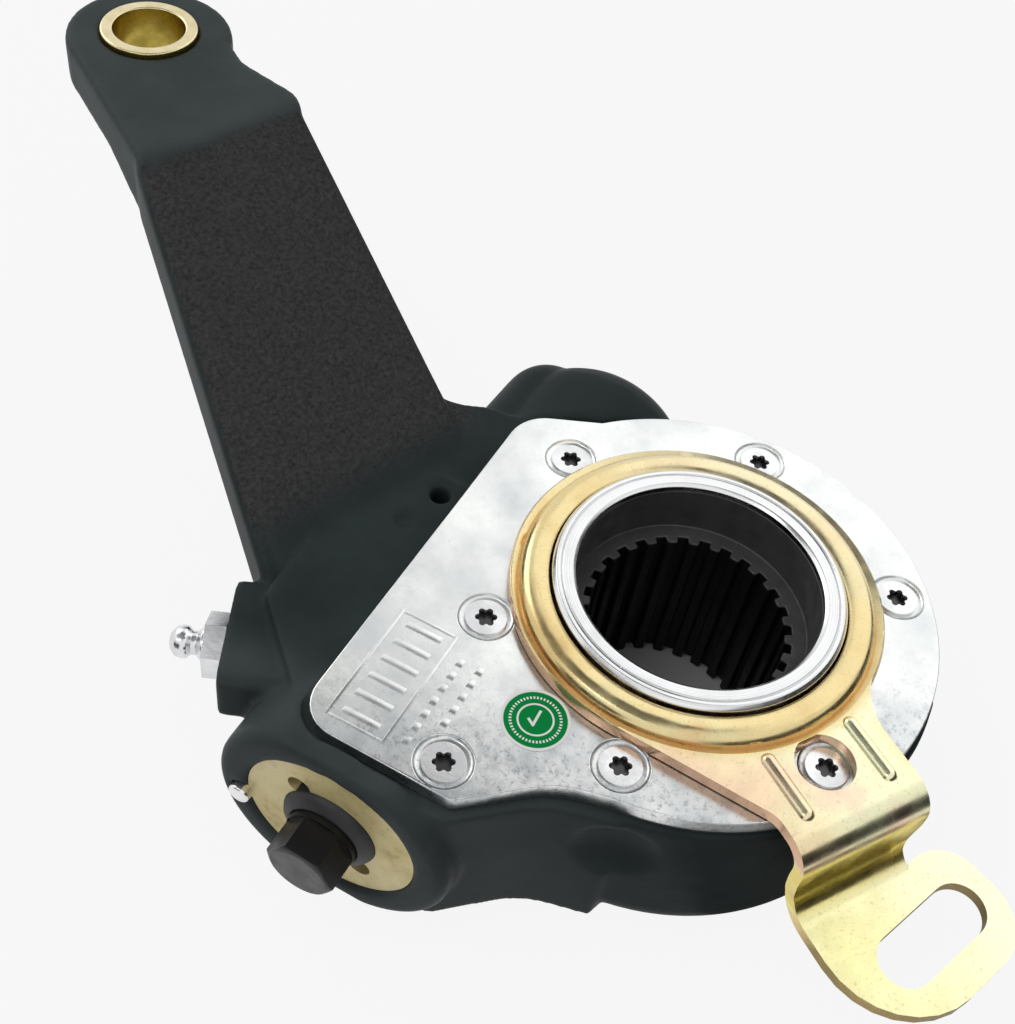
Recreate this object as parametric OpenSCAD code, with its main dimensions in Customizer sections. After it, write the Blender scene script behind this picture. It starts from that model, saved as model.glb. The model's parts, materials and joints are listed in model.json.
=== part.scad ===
// Automatic brake slack adjuster: a cast lever that turns a brake camshaft through
// a worm and worm wheel, with a control arm that takes up lining wear.
// Origin: camshaft bore axis, at the hub's back face. +Z points to the cover,
// +X runs along the worm away from its hexagon, +Y points to the lever.

/* [Hub and cover] */
// From the hub's back face to the top of the cover
hub_depth = 44.5; // [42:0.5:50]
// Radius of the round drum of the casting
drum_r = 48; // [47.5:0.5:54]
// Height of the drum's wall below the cover
drum_h = 40; // [36:0.5:42]
// Radius of the smaller hub behind the drum
back_hub_r = 36; // [32:0.5:42]
// Thickness of the cover plate
cover_t = 3.2; // [2.8:0.1:4]
// Thickness of the gasket under the cover
gasket_t = 0.6; // [0.4:0.1:1]
// How far the drum stands out past the cover's round edge
cover_rim = 1; // [0.5:0.1:2]

/* [Cover screws] */
// Radius of the circle of six cover screws
screw_circle_r = 40.4; // [39.5:0.1:41.5]
// Angle of the first screw on that circle
screw_phase = 3.5; // [0:0.5:8]
// Diameter of a screw head
screw_head_d = 7.9; // [7:0.1:8.5]
// Diameter of the recess round a screw head
screw_recess_d = 10.4; // [9.5:0.1:11]
// Thread diameter of the cover screws
screw_d = 5; // [4:0.5:5.5]

/* [Worm drive] */
// Module of the worm wheel
wheel_module = 2.5; // [2.4:0.05:2.6]
// Pitch radius of the worm
worm_pitch_r = 11; // [10.8:0.1:11.5]
// Depth of the worm axis below the top of the cover
worm_drop = 22; // [21.5:0.5:24]
// Width of the worm wheel's teeth
wheel_face = 18; // [14:1:19]
// Length of the threaded part of the worm
worm_l = 40; // [34:1:42]
// Radius of the adjuster shaft
shaft_r = 6; // [5.5:0.1:6.5]
// Across flats of the adjusting hexagon
hex_af = 12; // [10:0.5:12]
// Length of the adjusting hexagon
hex_l = 7; // [6:0.5:14]

/* [Camshaft spline] */
// Major diameter of the camshaft spline
spline_d = 41.2; // [40:0.2:42]
// Depth of a spline tooth
spline_tooth = 1.5; // [1:0.1:2]
// Number of spline teeth
spline_n = 28; // [20:1:37]
// Radius of the smooth counterbore in front of the spline
counterbore_r = 23.5; // [22.5:0.1:23.7]

/* [Worm housing] */
// Radius of the worm boss
boss_r = 22; // [21:0.1:22.4]
// Where the open end of the worm boss lies along the worm axis
boss_open_x = -67; // [-70:0.5:-66]
// Where the closed end of the worm boss lies along the worm axis
boss_closed_x = 54; // [52:0.5:58]
// Radius of the end cap
cap_r = 17.4; // [16.5:0.1:18]
// Thickness of the end cap
cap_t = 13; // [10:0.5:14]

/* [Lever] */
// Distance of the lever eye from the bore, along the worm axis
eye_x = 56.2; // [50:0.5:65]
// Distance of the lever eye from the bore, across the worm axis
eye_y = 166.7; // [155:0.5:180]
// Height of the lever eye's face above the cover
eye_rise = 28; // [20:0.5:32]
// Radius of the lever eye
eye_r = 18.5; // [16:0.5:20]
// Thickness of the lever eye
eye_t = 12; // [10:0.5:15]
// Outer diameter of the lever bush
bush_od = 21.7; // [20:0.1:24]
// Inner diameter of the lever bush
bush_id = 16; // [14:0.1:18]

/* [Control arm] */
// Thickness of the control arm's sheet
arm_t = 2.5; // [2:0.1:3]
// Outer radius of the domed ring
arm_ring_r = 35.7; // [34.5:0.1:37]
// Height of the dome's crown above the cover
arm_crown = 4.6; // [4:0.1:6]
// Direction of the tab, as an angle about the bore
arm_angle = -123.5; // [-128:0.5:-119]
// Width of the tab where it bends down
tab_w = 27.6; // [24:0.2:29]
// How far below the tab the slotted eye lies
arm_drop = 17; // [12:0.5:19]
// Length of the slot in the control arm's eye
slot_l = 25; // [20:0.5:26]
// Width of the slot in the control arm's eye
slot_w = 10; // [8:0.5:11]

/* [Clearances] */
// Radial clearance of a running fit
run_fit = 0.05; // [0.02:0.01:0.1]
// Room between moving pieces
move_gap = 0.3; // [0.3:0.05:0.5]

/* [Hidden] */
$fn = 64;
// Overlap of cutters past a face
cut = 1;

// Levels above the hub's back face
cover_bottom = hub_depth - cover_t;
deck_z = cover_bottom - gasket_t;
drum_bottom = hub_depth - drum_h;
eye_top = hub_depth + eye_rise;
worm_z = hub_depth - worm_drop;

// Cover outline
cover_r = drum_r - cover_rim;
tab_left = -61.5;
tab_front = 49.5;
// Corner where the tab's left edge turns into its hollow edge, and the middle of that hollow
tab_corner_y = 18.3;
tab_hollow = [-49.4, 5];

// Worm wheel and worm
wheel_n = 22;
wheel_pitch_r = wheel_module * wheel_n / 2;
lead = PI * wheel_module;
lead_angle = atan(lead / (2 * PI * worm_pitch_r));
tooth_add = 0.8 * wheel_module;
wheel_tip_r = wheel_pitch_r + tooth_add;
worm_tip_r = worm_pitch_r + tooth_add;
worm_y = wheel_pitch_r + worm_pitch_r;
barrel_r = worm_y - worm_tip_r - move_gap;
worm_core_r = worm_y - wheel_tip_r - move_gap;
// Half thickness of a tooth at the pitch line, and the slope of its flanks
tooth_half = 0.64 * lead / PI;
flank = tan(20);
wheel_bottom = worm_z - wheel_face / 2;
wheel_top = worm_z + wheel_face / 2;
shoulder_r = barrel_r + 3.2;
disc_t = 4;
disc_top = deck_z - move_gap;
disc_bottom = disc_top - disc_t;
shoulder_top = disc_bottom - move_gap;
spline_r = spline_d / 2;
spline_top = hub_depth - 6.8;
wheel_end = hub_depth + 3.8;
ring_r = 28;
ring_top = hub_depth + 5.6;

// Worm shaft, from the hexagon to the closed end
worm_bore_r = worm_tip_r + 0.6;
cap_inner = boss_open_x + cap_t;
gear_w = 10;
gear_x = cap_inner + 2;
spring_x = gear_x + gear_w + 0.4;
one_way_wire = 1.1;
one_way_turns = 3;
one_way_l = one_way_wire * 2 * one_way_turns + 2 * one_way_wire;
clutch_x = spring_x + one_way_l + 0.4;
worm_x = -worm_l / 2;
clutch_l = worm_x - clutch_x - 0.2;
bearing_x = worm_l / 2 + move_gap;
bearing_t = 3.6;
seat_t = 2;
end_wall = 13;
spring_end = boss_closed_x - end_wall;
tail_r = 5;
tail_l = 3;
collar_l = 2.5;

// Clutch gear and rack
gear_module = 1.5;
gear_n = 14;
gear_pitch_r = gear_module * gear_n / 2;
gear_tooth_half = 0.42 * PI * gear_module / 2;
rack_pitch = PI * gear_module;
rack_z = worm_z + gear_pitch_r;
rack_w = 8;
rack_x = gear_x + gear_w / 2;
rack_top = rack_z + 4.6;
foot_bottom = disc_bottom + move_gap;
foot_top = disc_top;
rack_y0 = 17;
rack_y1 = 46;
rack_travel = 4.7;
notch_angle = 162;
notch_r = 33.5;
foot_w = 4.8;
foot_y = notch_r * sin(notch_angle);
foot_tip = -31.3;
// The foot's leg stays under the rack's inner half, clear of the cover's hollow edge
leg_w = rack_w / 2;
leg_x = rack_x;
slide_gap = 0.4;

// Control disc and its collar through the cover
disc_r = 34.5;
disc_in = ring_r + 0.4;
collar_r = 32.4;
seal_r = 34.8;
arm_bottom = hub_depth + move_gap;
rivet_r = (disc_in + collar_r) / 2;

function unit(v) = v / norm(v);
function polar(r, a) = [r * cos(a), r * sin(a)];

// Outline with rounded corners: each point is [x, y, corner radius]
function corner(a, p, b, n = 8) =
    let (u = unit([a.x - p.x, a.y - p.y]), v = unit([b.x - p.x, b.y - p.y]),
        half = acos(u * v) / 2, t = p.z / tan(half), d = p.z / sin(half),
        c = [p.x, p.y] + unit(u + v) * d, s = [p.x, p.y] + u * t - c,
        turn = cross(u, v) > 0 ? -1 : 1, sweep = turn * (180 - 2 * half))
    p.z == 0 ? [[p.x, p.y]]
    : [for (i = [0 : n]) let (a = sweep * i / n)
        c + [s.x * cos(a) - s.y * sin(a), s.x * sin(a) + s.y * cos(a)]];
function rounded(pts) =
    let (n = len(pts))
    [for (i = [0 : n - 1]) each corner(pts[(i + n - 1) % n], pts[i], pts[(i + 1) % n])];

// Tube of wire round an axis along +Z, ends capped
function coil_ring(r, wire, rise, a, sides) =
    [for (j = [0 : sides - 1]) let (b = 360 * j / sides, q = r + wire * cos(b))
        [q * cos(a), q * sin(a), rise * a / 360 + wire * sin(b)]];
module sweep_rings(rings) {
    n = len(rings[0]);
    m = len(rings);
    points = [for (ring = rings) each ring];
    sides = [for (i = [0 : m - 2], j = [0 : n - 1]) let (k = (j + 1) % n, a = i * n, b = a + n)
        each [[b + j, a + k, b + k], [b + j, a + j, a + k]]];
    first = [for (j = [1 : n - 2]) [0, j + 1, j]];
    last = [for (j = [1 : n - 2]) (m - 1) * n * [1, 1, 1] + [0, j, j + 1]];
    polyhedron(points, concat(sides, first, last), convexity = 10);
}
module coil(r, wire, rise, turns, sides = 8, step = 18) {
    sweep_rings([for (a = [0 : step : 360 * turns]) coil_ring(r, wire, rise, a, sides)]);
}
// Lays a shape made along +Z down along the worm axis, starting at x
module on_worm(x) {
    translate([x, worm_y, worm_z]) rotate([0, 90, 0]) children();
}
module tube(r_out, r_in, h) {
    difference() {
        cylinder(r = r_out, h = h);
        translate([0, 0, -cut]) cylinder(r = r_in, h = h + 2 * cut);
    }
}
// Torus section ring about +Z
module o_ring(r, wire) {
    rotate_extrude() translate([r, 0]) circle(r = wire, $fn = 24);
}

// Places of the seven cover screws: six on a circle, unevenly spaced, and one in the corner
screw_steps = [0, 59, 125.5, 181, 235, 300];
corner_screw = [5.8, 23];
screw_places = concat([for (a = screw_steps) polar(screw_circle_r, screw_phase + a)],
    [[tab_left + corner_screw.x, corner_screw.y]]);
module at_screws() {
    for (p = screw_places) translate(p) children();
}

// Slab of the cover's outline, grown by d on all sides: a round part and a tab
module cover_tab(h, d = 0) {
    linear_extrude(h) polygon(rounded([[tab_left - d, tab_front + d, 7.5], [24 + d, tab_front + d, 9],
        [33 + d, 32, 0], [0, -20, 0], [-46 - d, -8, 0], [tab_hollow.x - d, tab_hollow.y, 22],
        [tab_left - d, tab_corner_y, 3.2]]));
}
module cover_slab(h, d = 0) {
    cylinder(r = cover_r + d, h = h);
    cover_tab(h, d);
}

// Lever: a rising beam from the worm boss to a level head with the eye
beam_base_l = [-52, 52];
beam_base_r = [11.3, 52];
beam_bend_l = [16.4, 138.8];
beam_bend_r = [53.4, 124.5];
beam_top = hub_depth - 6.3;
// How far the beam's end lies below the head's face, so that the bend shows
bend_step = 0.4;
beam_base_t = 16;
beam_bend_t = 18;
edge_r = 3;
groove_r = 1.3;
groove_in = 2.8;
// The beam's face is one plane: level along the bend, rising across it
bend_across = unit([beam_bend_l.y - beam_bend_r.y, beam_bend_r.x - beam_bend_l.x]);
bend_top = eye_top - bend_step;
beam_slope = (bend_top - beam_top) / ((beam_bend_l - beam_base_r) * bend_across);
beam_base_l_top = beam_top + beam_slope * ((beam_base_l - beam_base_r) * bend_across);
// Two corners of the beam, one above the other, at the given top and thickness
module beam_edge(p, top, t, side) {
    for (z = [top - edge_r, top - t + edge_r]) translate([p.x - side * edge_r, p.y, z])
        sphere(r = edge_r, $fn = 20);
}
module beam() {
    hull() {
        beam_edge(beam_base_l, beam_base_l_top, beam_base_t, -1);
        beam_edge(beam_base_r, beam_top, beam_base_t, 1);
        beam_edge(beam_bend_l, bend_top, beam_bend_t, -1);
        beam_edge(beam_bend_r, bend_top, beam_bend_t, 1);
    }
}
// Round rod between two points
module rod(a, b, r) {
    d = b - a;
    translate(a) rotate([0, acos(d.z / norm(d)), atan2(d.y, d.x)]) cylinder(r = r, h = norm(d), $fn = 24);
}
// Groove along the beam's left edge
module edge_groove() {
    rise = 0.5;
    rod([beam_base_l.x + groove_in, beam_base_l.y, beam_base_l_top + rise],
        [beam_bend_l.x + groove_in, beam_bend_l.y, bend_top + rise], groove_r);
}
// Level head: the eye and the shoulder that leads to it from the bend, thinner at the eye
head_wide = 120;
module head_outline(h) {
    shoulder_x = beam_bend_r.x + 3.6;
    translate([eye_x, eye_y, 0]) cylinder(r = eye_r, h = h);
    linear_extrude(h) polygon(rounded([[beam_bend_l.x - 0.4, beam_bend_l.y - 1.2, 0],
        [beam_bend_r.x, beam_bend_r.y - 1, 2], [shoulder_x, beam_bend_r.y + 3.4, 3],
        [eye_x + 3.6, eye_y - eye_r - 4.5, 4], [eye_x + 8, eye_y - eye_r + 2, 0],
        [eye_x, eye_y, 0], [eye_x - eye_r * 0.86, eye_y + eye_r * 0.5, 0]]));
}
module lever_head() {
    to_eye = ([eye_x, eye_y] - beam_bend_l) * bend_across;
    side = [[-10, -beam_bend_t], [0, -beam_bend_t], [to_eye - eye_r, -eye_t], [to_eye + 2 * eye_r, -eye_t],
        [to_eye + 2 * eye_r, 0], [-10, 0]];
    intersection() {
        translate([0, 0, eye_top - beam_bend_t - cut]) head_outline(beam_bend_t + 2 * cut);
        translate([beam_bend_l.x, beam_bend_l.y, eye_top]) rotate(atan2(bend_across.y, bend_across.x))
            translate([0, head_wide / 2, 0]) rotate([90, 0, 0]) linear_extrude(head_wide) polygon(side);
    }
}

// Closed round boss along the worm axis, with a rounded closed end
boss_round = 13;
// Chamfer of the boss's open end
boss_rim = 1.5;
module worm_boss() {
    l = boss_closed_x - boss_open_x;
    on_worm(boss_open_x) rotate_extrude()
        polygon(concat([[0, 0], [boss_r - boss_rim, 0], [boss_r, boss_rim]],
            [for (a = [0 : 15 : 90])
                [boss_r - boss_round, l - boss_round] + boss_round * [cos(a), sin(a)]],
            [[0, l]]));
    boss_flare();
}
// Thicker rim round the end cap, level with the boss above and below
flare_r = 24;
flare_l = 22;
module boss_flare() {
    half = boss_r - 0.5;
    intersection() {
        on_worm(boss_open_x) rotate_extrude() polygon([[0, 0], [flare_r - boss_rim, 0],
            [flare_r, boss_rim], [flare_r, flare_l / 3], [boss_r - 0.4, flare_l], [0, flare_l]]);
        translate([boss_open_x - cut, worm_y - 2 * flare_r, worm_z - half])
            cube([flare_l + 2 * cut, 4 * flare_r, 2 * half]);
    }
}

// Angular boss that carries the grease nipple
nipple_place = [-48.4, 72.7];
nipple_z = hub_depth - 14;
nipple_angle = 115;
nipple_boss_r = 13;
nipple_boss_l = 26;
nipple_boss_top = hub_depth - 7;
nipple_thread_r = 5;
nipple_thread_l = 8;
nipple_hex_af = 11;
nipple_hex_h = 4;
nipple_ball_r = 3.2;
nipple_neck_r = 2.3;
module at_nipple() {
    translate([nipple_place.x, nipple_place.y, nipple_z])
        rotate([0, 0, nipple_angle]) rotate([0, 90, 0]) children();
}
module nipple_boss() {
    difference() {
        at_nipple() translate([0, 0, -nipple_boss_l])
            rotate([0, 0, 22.5]) cylinder(r = nipple_boss_r, h = nipple_boss_l, $fn = 8);
        translate([-hub_depth * 3, 0, nipple_boss_top]) cube(hub_depth * 3);
    }
}

// Shoulder between the cover's straight edge and the lever
module lever_shoulder() {
    translate([0, 0, worm_z]) linear_extrude(deck_z - worm_z)
        polygon(rounded([[-57, 30, 0], [-58, 50, 6], [-50.5, 58.5, 4], [-40, 70, 4], [20, 70, 8],
            [26, 58, 6], [28, 30, 0]]));
}
// Raised pad round the witness hole, and the small pit beside it
witness = [-2.1, 54.3];
witness_r = 2.1;
pad_rise = 0.8;
module witness_pad() {
    translate([witness.x - 6, witness.y - 4.2, worm_z]) cube([11, 8.4, deck_z - worm_z + pad_rise]);
}
module witness_cuts() {
    translate([witness.x, witness.y, deck_z - 8]) cylinder(r = witness_r, h = hub_depth);
    translate([witness.x - 9, witness.y + 3, deck_z + 1]) sphere(r = witness_r + 0.4);
}
// Dished pocket in the wall below the cover's hollow edge
pocket = [-60.9, -12.5, hub_depth - 14];
pocket_r = 16;

// Round drum with a rounded lower edge
drum_round = 7;
tab_rim = 2.4;
module drum() {
    translate([0, 0, drum_bottom]) rotate_extrude() polygon(concat([[0, 0]],
        [for (a = [-90 : 15 : 0]) [drum_r - drum_round, drum_round] + drum_round * [cos(a), sin(a)]],
        [[drum_r, deck_z - drum_bottom], [0, deck_z - drum_bottom]]));
}

module casting() {
    drum();
    cylinder(r = back_hub_r, h = deck_z);
    translate([0, 0, drum_bottom]) cover_tab(deck_z - drum_bottom, tab_rim);
    worm_boss();
    lever_shoulder();
    witness_pad();
    nipple_boss();
    beam();
    lever_head();
}

// Room inside the casting for the wheel, worm, rack and control disc
seal_groove = 1.2;
module cavities() {
    // rear journal of the wheel and the wheel chamber
    translate([0, 0, -cut]) cylinder(r = barrel_r + run_fit, h = hub_depth);
    translate([0, 0, wheel_bottom - move_gap])
        cylinder(r = wheel_tip_r + 1, h = hub_depth);
    translate([0, 0, shoulder_top - move_gap]) cylinder(r = disc_r + 0.5, h = hub_depth);
    translate([0, 0, rear_seal_z]) o_ring(barrel_r + seal_groove, seal_groove + 0.4);
    // bore for the worm, its spring and the end cap
    on_worm(cap_inner - cut) cylinder(r = worm_bore_r, h = spring_end - cap_inner + cut);
    on_worm(boss_open_x - cut) cylinder(r = cap_r + run_fit, h = cap_t + cut);
    on_worm(spring_end - cut) cylinder(r = tail_r + run_fit, h = tail_l + 1.5 + cut);
    // slot for the rack, roofed past the cover's edge, and for its foot
    slot_x = rack_x - rack_w / 2 - slide_gap;
    leg_slot_x = leg_x - slide_gap;
    room = rack_travel + 1;
    translate([slot_x, rack_y0 - room, worm_z])
        cube([rack_w + 2 * slide_gap, rack_y1 - rack_y0 + 2 * room, rack_top + slide_gap - worm_z]);
    translate([leg_slot_x, foot_y - foot_w / 2 - room, foot_bottom - slide_gap])
        cube([foot_tip - leg_slot_x, foot_w + 2 * room, hub_depth]);
    translate([leg_slot_x, foot_y, foot_bottom - slide_gap])
        cube([leg_w + 2 * slide_gap, rack_y0 + foot_w - foot_y + room, hub_depth]);
}

rear_seal_z = 5;
screw_l = 4.6;
bush_proud = 1;
pin_r = 2.2;
pin_angle = -100;
pin_out = 1.4;
pin_l = 7;
pin_proud = 1.2;
module housing() {
    color("#2b2d2e") difference() {
        casting();
        // machined face under the cover
        translate([0, 0, deck_z]) cover_slab(hub_depth, 1);
        cavities();
        at_screws() translate([0, 0, cover_bottom - screw_l]) cylinder(d = screw_d, h = hub_depth);
        translate([eye_x, eye_y, 0]) cylinder(d = bush_od, h = 2 * hub_depth);
        at_nipple() translate([0, 0, -nipple_thread_l])
            cylinder(r = nipple_thread_r, h = 2 * nipple_thread_l);
        lock_pin(pin_l + cut);
        witness_cuts();
        translate(pocket) sphere(r = pocket_r);
        edge_groove();
    }
}

module clevis_bush() {
    color("#b8952f") translate([eye_x, eye_y, eye_top - eye_t - bush_proud])
        tube(bush_od / 2, bush_id / 2, eye_t + 2 * bush_proud);
}

recess_depth = 2.3;
hole_r = collar_r + 0.5;
module cover_plate() {
    color("#c9ced0") translate([0, 0, cover_bottom]) difference() {
        cover_slab(cover_t);
        translate([0, 0, -cut]) cylinder(r = hole_r, h = cover_t + 2 * cut);
        translate([0, 0, -cut]) cylinder(r = seal_r + 0.2, h = 1.4 + cut);
        at_screws() {
            translate([0, 0, -cut]) cylinder(d = screw_d, h = cover_t + 2 * cut);
            translate([0, 0, cover_t - recess_depth]) cylinder(d = screw_recess_d, h = cover_t);
        }
    }
}

module cover_gasket() {
    color("#3d4a44") translate([0, 0, deck_z]) difference() {
        cover_slab(gasket_t, -0.2);
        translate([0, 0, -cut]) cylinder(r = disc_r + 0.5, h = gasket_t + 2 * cut);
        at_screws() translate([0, 0, -cut]) cylinder(d = screw_d, h = gasket_t + 2 * cut);
    }
}

screw_head_t = recess_depth - 0.1;
torx_depth = 1.6;
module cover_screws() {
    color("#d5d7d8") at_screws() difference() {
        union() {
            translate([0, 0, hub_depth - recess_depth]) cylinder(d = screw_head_d, h = screw_head_t);
            translate([0, 0, cover_bottom - screw_l])
                cylinder(d = screw_d, h = screw_l + cover_t - recess_depth);
        }
        translate([0, 0, hub_depth - torx_depth]) linear_extrude(cover_t) torx();
    }
}
// Six-lobed driver recess
module torx() {
    circle(r = 1.55);
    for (a = [0 : 60 : 300]) rotate(a) translate([1.45, 0]) circle(r = 0.6, $fn = 16);
}

module cover_seal() {
    color("#1b1b1b") translate([0, 0, cover_bottom + 0.1])
        tube(seal_r, collar_r + move_gap, 1.2);
}

module end_cap() {
    spanner_r = 10.8;
    spanner_d = 4.6;
    spanner_depth = 4;
    color("#b9a66a") difference() {
        on_worm(boss_open_x + cap_sunk) difference() {
            cylinder(r = cap_r, h = cap_t - cap_sunk);
            translate([0, 0, -cut]) cylinder(r = shaft_r + 1 + run_fit, h = cap_t + 2 * cut);
            translate([0, 0, -cut]) cylinder(r = seal_bore_r, h = seal_l + cut);
            for (a = [143, 323]) rotate(a) translate([spanner_r, 0, -cut])
                cylinder(d = spanner_d, h = spanner_depth + cut);
            // groove for the sealing ring
            translate([0, 0, o_ring_x]) rotate_extrude()
                translate([cap_r - 2 * o_wire, -o_wire]) square([o_wire * 3, o_wire * 2]);
        }
        lock_pin(pin_l + cut);
    }
}
o_wire = 1.2;
o_ring_x = 8;
seal_bore_r = 9.6;
seal_l = 3;
seal_proud = 2.2;
seal_h = seal_l + seal_proud;
cap_sunk = 0.8;

module cap_o_ring() {
    color("#161616") on_worm(boss_open_x + cap_sunk + o_ring_x) o_ring(cap_r - o_wire, o_wire - run_fit);
}

// Pin that locks the end cap to the casting, partly in each
module lock_pin(l) {
    on_worm(boss_open_x - pin_proud) rotate(pin_angle) translate([-cap_r - pin_out, 0, 0])
        cylinder(r = pin_r, h = l, $fn = 32);
}
module cap_lock_pin() {
    color("#cfd2d4") lock_pin(pin_l);
}

module shaft_seal() {
    color("#1a1a1c") on_worm(boss_open_x + cap_sunk - seal_proud) difference() {
        rotate_extrude() polygon([[0, 0], [seal_bore_r - 2, 0], [seal_bore_r - 0.6, 1],
            [seal_bore_r, 2], [seal_bore_r, seal_h], [0, seal_h]]);
        translate([0, 0, -cut]) cylinder(r = shaft_r + 1 + run_fit, h = seal_h + 2 * cut);
    }
}

module grease_nipple() {
    h = nipple_hex_h;
    color("#cdd0d2") at_nipple() difference() {
        union() {
            translate([0, 0, -nipple_thread_l + 1]) cylinder(r = nipple_thread_r, h = nipple_thread_l - 1);
            cylinder(r = nipple_hex_af / 2 / cos(30), h = h, $fn = 6);
            rotate_extrude() polygon([[0, h - 1], [nipple_ball_r + 0.4, h - 1],
                [nipple_ball_r + 0.2, h + 0.6], [nipple_neck_r, h + 1.6], [nipple_neck_r, h + 2.6],
                [nipple_ball_r - 0.1, h + 3.4], [nipple_ball_r, h + 4.3], [nipple_ball_r - 0.3, h + 5.5],
                [nipple_ball_r / 2, h + 6.6], [0, h + 6.6]]);
        }
        translate([0, 0, h - 1]) cylinder(r = 0.7, h = 9, $fn = 16);
    }
}

module thrust_bearing() {
    color("#9da1a4") on_worm(bearing_x) {
        tube(worm_bore_r - run_fit, tail_r + 3, bearing_t / 3 - 0.02);
        translate([0, 0, bearing_t * 2 / 3]) tube(worm_bore_r - run_fit, tail_r + 3, bearing_t / 3);
        translate([0, 0, bearing_t / 3]) tube(worm_bore_r - 1.5, tail_r + 4, bearing_t / 3 - 0.02);
    }
}

module spring_seat() {
    color("#8b8f92") on_worm(bearing_x + bearing_t) tube(worm_bore_r - run_fit, tail_r + 1.5, seat_t);
}

spring_wire = 1.7;
spring_r = worm_bore_r - spring_wire - 0.4;
spring_x0 = bearing_x + bearing_t + seat_t;
spring_turns = 2;
module main_spring() {
    l = spring_end - spring_x0 - 2 * spring_wire - 0.1;
    color("#55585a") on_worm(spring_x0 + spring_wire + 0.05)
        coil(spring_r, spring_wire, l / spring_turns, spring_turns);
}

module rear_seal() {
    color("#161616") translate([0, 0, rear_seal_z])
        o_ring(barrel_r + seal_groove + 0.3, seal_groove - 0.05);
}

// Worm wheel teeth: straight flanks, tilted to the worm's lead
module wheel_tooth() {
    tip = tooth_half - flank * tooth_add;
    root = tooth_half + flank * (wheel_pitch_r - barrel_r);
    translate([0, 0, worm_z]) rotate([-lead_angle, 0, 0]) linear_extrude(wheel_face + 2, center = true)
        polygon([[barrel_r - 0.4, -root], [wheel_tip_r + 0.5, -tip], [wheel_tip_r + 0.5, tip],
            [barrel_r - 0.4, root]]);
}
module worm_wheel() {
    color("#3a3d3f") difference() {
        union() {
            cylinder(r = barrel_r, h = wheel_end);
            translate([0, 0, wheel_top]) cylinder(r = shoulder_r, h = shoulder_top - wheel_top);
            intersection() {
                for (i = [0 : wheel_n - 1]) rotate(360 * (i + 0.5) / wheel_n + 90) wheel_tooth();
                translate([0, 0, wheel_bottom]) cylinder(r = wheel_tip_r, h = wheel_face);
            }
        }
        translate([0, 0, spline_top]) cylinder(r = counterbore_r, h = hub_depth);
        translate([0, 0, -cut]) cylinder(r = spline_r - spline_tooth, h = hub_depth + 2 * cut);
        translate([0, 0, -cut]) linear_extrude(hub_depth + cut) for (i = [0 : spline_n - 1])
            rotate(360 * i / spline_n) translate([0, -spline_w / 2]) square([spline_r, spline_w]);
    }
}
spline_w = PI * (spline_d - spline_tooth) / spline_n / 2;

module hub_ring() {
    groove = 0.5;
    color("#d9dcde") rotate_extrude() polygon([[barrel_r, shoulder_top], [ring_r - 0.2, shoulder_top],
        [ring_r, shoulder_top + 0.4], [ring_r, ring_top - 0.8], [ring_r - 0.7, ring_top],
        [ring_r - 1.4, ring_top], [ring_r - 1.4 - groove / 2, ring_top - groove],
        [ring_r - 1.4 - groove, ring_top], [counterbore_r + 0.7, ring_top],
        [counterbore_r, ring_top - 0.6], [counterbore_r, wheel_end],
        [barrel_r, wheel_end]]);
}

hex_turn = -25;
module adjuster_shaft() {
    hex_r = hex_af / 2 / cos(30);
    journal_r = shaft_r + 1;
    color("#242526") {
        on_worm(boss_open_x - collar_l - hex_l) intersection() {
            rotate(hex_turn) cylinder(r = hex_r, h = hex_l + 0.5, $fn = 6);
            cylinder(r1 = hex_r - 1.2, r2 = hex_r - 1.2 + (hex_l + 0.5) * 1.6, h = hex_l + 0.5);
        }
        on_worm(boss_open_x - collar_l) cylinder(r = journal_r, h = cap_t + collar_l + 1.6);
        on_worm(cap_inner) cylinder(r = shaft_r, h = bearing_x - cap_inner);
        on_worm(bearing_x - cut) cylinder(r = tail_r, h = spring_end + tail_l - bearing_x + cut);
    }
}

module worm_screw() {
    steps = 24;
    tip = tooth_half - flank * tooth_add;
    sunk = 0.3;
    root = tooth_half + flank * (worm_pitch_r - worm_core_r + sunk);
    half = root + 0.2;
    turns = (worm_l - 2 * half) / lead;
    start = -turns * 180;
    color("#6f7376") difference() {
        union() {
            on_worm(worm_x) cylinder(r = worm_core_r, h = worm_l);
            on_worm(0) sweep_rings([for (i = [0 : floor(turns * steps)])
                let (a = start + i * 360 / steps, z = lead * a / 360,
                    x = [worm_core_r - sunk, worm_tip_r, worm_tip_r, worm_core_r - sunk],
                    w = [-root, -tip, tip, root])
                [for (j = [0 : 3]) [x[j] * cos(a + worm_phase), x[j] * sin(a + worm_phase), z + w[j]]]]);
        }
        on_worm(worm_x - cut) cylinder(r = shaft_r, h = worm_l + 2 * cut);
    }
}
worm_phase = -90;

module clutch_ring() {
    teeth = 12;
    depth = 1;
    color("#7b7f82") on_worm(clutch_x) difference() {
        tube(worm_bore_r - 1, shaft_r, clutch_l);
        for (i = [0 : teeth - 1]) rotate(360 * i / teeth) translate([shaft_r + 1.5, 0, 0])
            rotate([0, 90, 0]) cylinder(r = depth, h = worm_bore_r, $fn = 4);
    }
}

// Tab frame: +X outward along the tab, at the control arm's underside
tab_bend = 52.5;
tab_half = tab_w / 2;
module at_tab() {
    rotate(arm_angle) translate([0, 0, arm_bottom]) children();
}
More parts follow.
